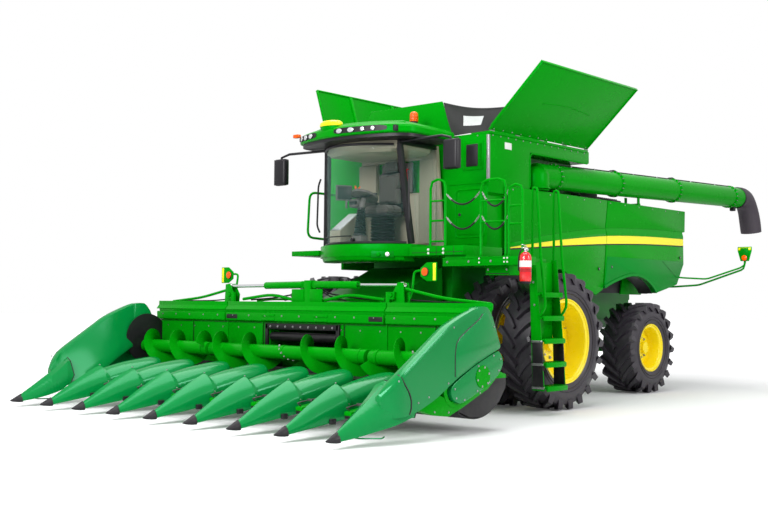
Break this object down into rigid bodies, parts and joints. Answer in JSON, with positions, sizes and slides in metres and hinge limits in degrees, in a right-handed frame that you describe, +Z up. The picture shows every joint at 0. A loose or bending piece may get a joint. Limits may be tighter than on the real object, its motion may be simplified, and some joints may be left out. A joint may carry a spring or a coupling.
{
  "type": "combine harvester",
  "caption": "Combine harvester with folding corn header, twin front wheels, steered rear wheels, cab, open grain tank covers and stored unloading auger.",
  "frame": {"origin": "on the ground, under the centre of the bounding box", "axes": "+Z up; the machine faces -Y; its left side, with the cab door and ladder, is +X"},
  "size_m": [6.66, 13.2323, 4.9084],
  "materials": {
    "green_paint": "glossy",
    "hood_plastic": "glossy",
    "yellow_paint": "satin",
    "tyre_rubber": "matt",
    "bare_steel": "satin",
    "chrome_rod": "polished",
    "cab_glass": "clear",
    "black_plastic": "matt",
    "cab_trim": "matt"
  },
  "bodies": {
    "machine": {"main_frame": "green_paint", "front_axle": "green_paint", "rear_axle": "green_paint", "separator_body": "green_paint", "cleaning_shoe": "green_paint", "straw_chopper": "green_paint", "engine_block": "bare_steel", "rear_hood": "green_paint", "grain_tank": "green_paint", "cab_floor": "green_paint", "cab_rear_wall": "cab_trim", "cab_frame": "black_plastic", "windscreen": "cab_glass", "cab_window_right": "green_paint", "cab_roof": "green_paint", "operator_seat": "black_plastic", "platform": "green_paint"},
    "feeder": {"feeder_house": "green_paint", "header_frame_centre": "green_paint", "row_hoods_centre": "hood_plastic"},
    "header_auger_centre": {"header_auger_centre": "green_paint"},
    "lift_barrels": {"lift_barrels": "green_paint"},
    "lift_rods": {"lift_rods": "chrome_rod"},
    "unloader": {"unloading_auger": "green_paint", "unloader_boot": "black_plastic"},
    "cab_door": {"cab_door_left": "green_paint"},
    "ladder": {"ladder": "green_paint"},
    "front_left_wheels": {"front_left_outer_tyre": "tyre_rubber", "front_left_inner_tyre": "tyre_rubber", "front_left_rims": "yellow_paint"},
    "rear_left_steering": {"rear_left_knuckle": "green_paint"},
    "rear_left_wheel": {"rear_left_tyre": "tyre_rubber", "rear_left_rim": "yellow_paint"},
    "front_right_wheels": {"front_right_outer_tyre": "tyre_rubber", "front_right_inner_tyre": "tyre_rubber", "front_right_rims": "yellow_paint"},
    "rear_right_steering": {"rear_right_knuckle": "green_paint"},
    "rear_right_wheel": {"rear_right_tyre": "tyre_rubber", "rear_right_rim": "yellow_paint"},
    "left_wing": {"header_frame_left_wing": "green_paint", "dividers_left_wing": "hood_plastic"},
    "left_wing_auger": {"header_auger_left_wing": "green_paint"},
    "fold_barrel_left": {"fold_barrel_left": "green_paint"},
    "fold_rod_left": {"fold_rod_left": "chrome_rod"},
    "side_panel_front_left": {"side_panel_front_left": "green_paint"},
    "side_panel_rear_left": {"side_panel_rear_left": "green_paint"},
    "spreader_disc_left": {"spreader_disc_left": "bare_steel"},
    "tank_cover_left": {"tank_cover_left": "green_paint"},
    "right_wing": {"header_frame_right_wing": "green_paint", "dividers_right_wing": "hood_plastic"},
    "right_wing_auger": {"header_auger_right_wing": "green_paint"},
    "fold_barrel_right": {"fold_barrel_right": "green_paint"},
    "fold_rod_right": {"fold_rod_right": "chrome_rod"},
    "side_panel_front_right": {"side_panel_front_right": "green_paint"},
    "side_panel_rear_right": {"side_panel_rear_right": "green_paint"},
    "spreader_disc_right": {"spreader_disc_right": "bare_steel"},
    "tank_cover_right": {"tank_cover_right": "green_paint"},
    "tank_cover_front": {"tank_cover_front": "green_paint"},
    "tank_cover_rear": {"tank_cover_rear": "green_paint"}
  },
  "joints": [
    {"name": "front_left_spin", "type": "hinge", "parent": "machine", "child": "front_left_wheels", "pos_m": [1.434, -1.3175, 0.95], "axis": [1, 0, 0], "continuous": true},
    {"name": "steer_left", "type": "hinge", "parent": "machine", "child": "rear_left_steering", "pos_m": [1.05, 2.2675, 0.75], "axis": [0, 0, 1], "range_deg": [-35, 35]},
    {"name": "rear_left_spin", "type": "hinge", "parent": "rear_left_steering", "child": "rear_left_wheel", "pos_m": [1.52, 2.2675, 0.75], "axis": [1, 0, 0], "continuous": true},
    {"name": "front_right_spin", "type": "hinge", "parent": "machine", "child": "front_right_wheels", "pos_m": [-1.434, -1.3175, 0.95], "axis": [1, 0, 0], "continuous": true},
    {"name": "steer_right", "type": "hinge", "parent": "machine", "child": "rear_right_steering", "pos_m": [-1.05, 2.2675, 0.75], "axis": [0, 0, 1], "range_deg": [-35, 35]},
    {"name": "rear_right_spin", "type": "hinge", "parent": "rear_right_steering", "child": "rear_right_wheel", "pos_m": [-1.52, 2.2675, 0.75], "axis": [1, 0, 0], "continuous": true},
    {"name": "feeder_lift", "type": "hinge", "parent": "machine", "child": "feeder", "pos_m": [0, -1.8675, 1.7], "axis": [-1, 0, 0], "range_deg": [0, 15]},
    {"name": "lift_barrel_tilt", "type": "hinge", "parent": "machine", "child": "lift_barrels", "pos_m": [0, -1.3775, 0.74], "axis": [-1, 0, 0], "range_deg": [-1, 12.35]},
    {"name": "lift_rod_slide", "type": "slide", "parent": "lift_barrels", "child": "lift_rods", "axis": [0, -0.9955, -0.0948], "range_m": [-0.01, 0.2602]},
    {"name": "header_auger_spin", "type": "hinge", "parent": "feeder", "child": "header_auger_centre", "pos_m": [0, -4.3675, 0.79], "axis": [1, 0, 0], "continuous": true},
    {"name": "fold_left", "type": "hinge", "parent": "feeder", "child": "left_wing", "pos_m": [1.573, -3.9175, 1.56], "axis": [0, -1, 0], "range_deg": [0, 110]},
    {"name": "header_auger_left_spin", "type": "hinge", "parent": "left_wing", "child": "left_wing_auger", "pos_m": [2.4, -4.3675, 0.79], "axis": [1, 0, 0], "continuous": true},
    {"name": "fold_barrel_left_tilt", "type": "hinge", "parent": "feeder", "child": "fold_barrel_left", "pos_m": [0.12, -3.9175, 1.7], "axis": [0, 1, 0], "range_deg": [-1, 3.95]},
    {"name": "fold_rod_left_slide", "type": "slide", "parent": "fold_barrel_left", "child": "fold_rod_left", "axis": [1, 0, -0.0096], "range_m": [-0.2727, 0.01]},
    {"name": "side_panel_front_left_lift", "type": "hinge", "parent": "machine", "child": "side_panel_front_left", "pos_m": [1.64, -0.3175, 3.15], "axis": [0, -1, 0], "range_deg": [0, 70]},
    {"name": "side_panel_rear_left_lift", "type": "hinge", "parent": "machine", "child": "side_panel_rear_left", "pos_m": [1.64, 2.3825, 3.15], "axis": [0, -1, 0], "range_deg": [0, 70]},
    {"name": "spreader_left_spin", "type": "hinge", "parent": "machine", "child": "spreader_disc_left", "pos_m": [0.335, 3.3825, 1.01], "axis": [0, 0, 1], "continuous": true},
    {"name": "fold_right", "type": "hinge", "parent": "feeder", "child": "right_wing", "pos_m": [-1.573, -3.9175, 1.56], "axis": [0, 1, 0], "range_deg": [0, 110]},
    {"name": "header_auger_right_spin", "type": "hinge", "parent": "right_wing", "child": "right_wing_auger", "pos_m": [-2.4, -4.3675, 0.79], "axis": [1, 0, 0], "continuous": true},
    {"name": "fold_barrel_right_tilt", "type": "hinge", "parent": "feeder", "child": "fold_barrel_right", "pos_m": [-0.12, -3.9175, 1.7], "axis": [0, -1, 0], "range_deg": [-1, 3.95]},
    {"name": "fold_rod_right_slide", "type": "slide", "parent": "fold_barrel_right", "child": "fold_rod_right", "axis": [-1, 0, -0.0096], "range_m": [-0.2727, 0.01]},
    {"name": "side_panel_front_right_lift", "type": "hinge", "parent": "machine", "child": "side_panel_front_right", "pos_m": [-1.64, -0.3175, 3.15], "axis": [0, 1, 0], "range_deg": [0, 70]},
    {"name": "side_panel_rear_right_lift", "type": "hinge", "parent": "machine", "child": "side_panel_rear_right", "pos_m": [-1.64, 2.3825, 3.15], "axis": [0, 1, 0], "range_deg": [0, 70]},
    {"name": "spreader_right_spin", "type": "hinge", "parent": "machine", "child": "spreader_disc_right", "pos_m": [-0.335, 3.3825, 1.01], "axis": [0, 0, 1], "continuous": true},
    {"name": "unloader_swing", "type": "hinge", "parent": "machine", "child": "unloader", "pos_m": [1.5, -0.7175, 3.38], "axis": [0, 0, -1], "range_deg": [0, 95]},
    {"name": "cab_door_swing", "type": "hinge", "parent": "machine", "child": "cab_door", "pos_m": [0.8673, -2.1575, 2.31], "axis": [-0.0887, 0, 0.9961], "range_deg": [0, 80]},
    {"name": "ladder_swing", "type": "hinge", "parent": "machine", "child": "ladder", "pos_m": [2.49, -2.3025, 1.2], "axis": [0, 0, -1], "range_deg": [0, 90]},
    {"name": "tank_cover_left_fold", "type": "hinge", "parent": "machine", "child": "tank_cover_left", "pos_m": [1.584, -0.7175, 3.91], "axis": [0, -1, 0], "range_deg": [0, 137]},
    {"name": "tank_cover_right_fold", "type": "hinge", "parent": "machine", "child": "tank_cover_right", "pos_m": [-1.584, -0.7175, 3.91], "axis": [0, 1, 0], "range_deg": [0, 108]},
    {"name": "tank_cover_front_fold", "type": "hinge", "parent": "machine", "child": "tank_cover_front", "pos_m": [0, -1.9775, 3.87], "axis": [-1, 0, 0], "range_deg": [0, 90]},
    {"name": "tank_cover_rear_fold", "type": "hinge", "parent": "machine", "child": "tank_cover_rear", "pos_m": [0, 0.5925, 3.87], "axis": [1, 0, 0], "range_deg": [0, 90]}
  ],
  "couplings": [
    {"joint": "steer_right", "follows": "steer_left", "ratio": 1},
    {"joint": "lift_barrel_tilt", "follows": "feeder_lift", "ratio": 0.75658},
    {"joint": "lift_rod_slide", "follows": "feeder_lift", "m_per_rad": 0.95574},
    {"joint": "header_auger_left_spin", "follows": "header_auger_spin", "ratio": 1},
    {"joint": "fold_barrel_left_tilt", "follows": "fold_left", "ratio": 0.02682},
    {"joint": "fold_rod_left_slide", "follows": "fold_left", "m_per_rad": -0.13685},
    {"joint": "header_auger_right_spin", "follows": "header_auger_spin", "ratio": 1},
    {"joint": "fold_barrel_right_tilt", "follows": "fold_right", "ratio": 0.02682},
    {"joint": "fold_rod_right_slide", "follows": "fold_right", "m_per_rad": -0.13685},
    {"joint": "tank_cover_right_fold", "follows": "tank_cover_left_fold", "ratio": 0.78832},
    {"joint": "tank_cover_front_fold", "follows": "tank_cover_left_fold", "ratio": 0.65693},
    {"joint": "tank_cover_rear_fold", "follows": "tank_cover_left_fold", "ratio": 0.65693}
  ]
}
